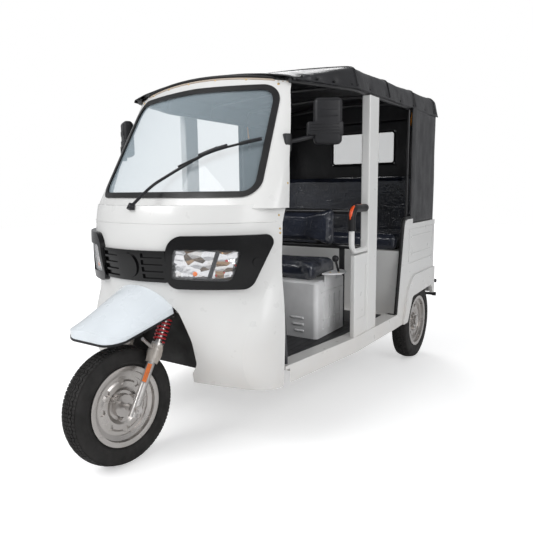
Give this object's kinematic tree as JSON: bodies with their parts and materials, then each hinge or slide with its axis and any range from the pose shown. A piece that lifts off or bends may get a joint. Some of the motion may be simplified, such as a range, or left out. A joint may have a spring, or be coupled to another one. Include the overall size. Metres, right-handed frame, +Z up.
{
  "type": "auto rickshaw",
  "caption": "Three-wheeled auto rickshaw with a white body, black soft canopy, open doorways, two bench seats, steered front wheel and rear engine lid.",
  "frame": {"origin": "on the ground under the middle of the vehicle's bounding box", "axes": "+Z up, -Y is the front, +X is the vehicle's left side"},
  "size_m": [1.369, 2.5542, 1.7639],
  "materials": {
    "body_paint": "light off-white gloss paint",
    "guard_white": "cool white glossy plastic",
    "edge_black": "black edge of the front mudguard",
    "body_plastic": "moulded white plastic",
    "black_rubber": "black rubber, ribbed on the floor",
    "clear_glass": "clear flat laminated glass",
    "clear_sheet": "clear flexible sheet",
    "underbody_black": "rough black underbody coating",
    "lamp_black": "glossy black moulded plastic",
    "lamp_lens": "clear ribbed lens",
    "red_lens": "red moulded lens",
    "amber_reflector": "orange reflector",
    "black_plastic": "black moulded plastic",
    "dark_plastic": "dark grey moulded plastic",
    "frame_steel": "black painted steel",
    "bright_steel": "zinc plated steel",
    "wrapped_grip": "black moulded grip",
    "seat_vinyl": "dark navy vinyl",
    "canopy_vinyl": "black coated canvas",
    "engine_alloy": "dull cast metal",
    "tyre_rubber": "black tyre rubber",
    "wheel_silver": "silver painted pressed steel",
    "spring_paint": "red painted coil spring"
  },
  "bodies": {
    "chassis": {"front_cowl": "body_paint", "windscreen_seal": "black_rubber", "windscreen": "clear_glass", "wheel_well": "underbody_black", "grille": "lamp_black", "headlamp_frames": "lamp_black", "headlamp_lenses": "lamp_lens", "wiper": "black_plastic", "mirrors": "black_plastic", "chassis_frame": "frame_steel", "floor_pan": "body_paint", "sills": "body_paint", "floor_mat": "black_rubber", "door_pillars": "body_paint", "handle_grips": "wrapped_grip", "driver_seat_box": "body_plastic", "driver_cushion": "seat_vinyl", "partition_bars": "frame_steel", "driver_backrest": "seat_vinyl", "lever_plate": "bright_steel", "hand_lever": "black_plastic", "dashboard": "dark_plastic", "brake_pedal": "bright_steel", "rear_quarters": "body_paint", "rear_panel": "body_paint", "tail_lamps": "red_lens", "rear_seat_base": "body_paint", "wheel_houses": "underbody_black", "rear_cushion": "seat_vinyl", "rear_backrest": "seat_vinyl", "canopy": "canopy_vinyl", "roof_frame": "frame_steel", "curtain": "canopy_vinyl", "curtain_window": "clear_sheet", "assist_straps": "wrapped_grip", "rear_bumper": "frame_steel", "bumper_caps": "black_plastic", "engine": "engine_alloy", "trailing_arms": "frame_steel", "rear_dampers": "frame_steel", "front_mudguard": "guard_white", "mudguard_edge": "edge_black"},
    "steering": {"fork": "frame_steel", "fork_springs": "spring_paint", "fork_reflectors": "amber_reflector", "handlebar": "frame_steel", "bar_grips": "black_rubber"},
    "front_wheel": {"front_tyre": "tyre_rubber", "front_rim": "wheel_silver"},
    "rear_wheel_left": {"rear_tyre_left": "tyre_rubber", "rear_rim_left": "wheel_silver"},
    "rear_wheel_right": {"rear_tyre_right": "tyre_rubber", "rear_rim_right": "wheel_silver"},
    "engine_lid": {"rear_lid": "body_paint"}
  },
  "joints": [
    {"name": "steering_turn", "type": "hinge", "parent": "chassis", "child": "steering", "pos_m": [0, -0.98571, 0.2294], "axis": [0, 0.515, 0.8572], "range_deg": [-29, 41]},
    {"name": "front_wheel_roll", "type": "hinge", "parent": "steering", "child": "front_wheel", "pos_m": [-0.00418, -1.01981, 0.24989], "axis": [0.9945, -0.0896, 0.0538], "continuous": true},
    {"name": "rear_wheel_left_roll", "type": "hinge", "parent": "chassis", "child": "rear_wheel_left", "pos_m": [0.58, 0.99, 0.25], "axis": [1, 0, 0], "continuous": true},
    {"name": "rear_wheel_right_roll", "type": "hinge", "parent": "chassis", "child": "rear_wheel_right", "pos_m": [-0.58, 0.99, 0.25], "axis": [1, 0, 0], "continuous": true},
    {"name": "engine_lid_swing", "type": "hinge", "parent": "chassis", "child": "engine_lid", "pos_m": [0, 1.247, 0.848], "axis": [1, 0, 0], "range_deg": [0, 80]}
  ]
}
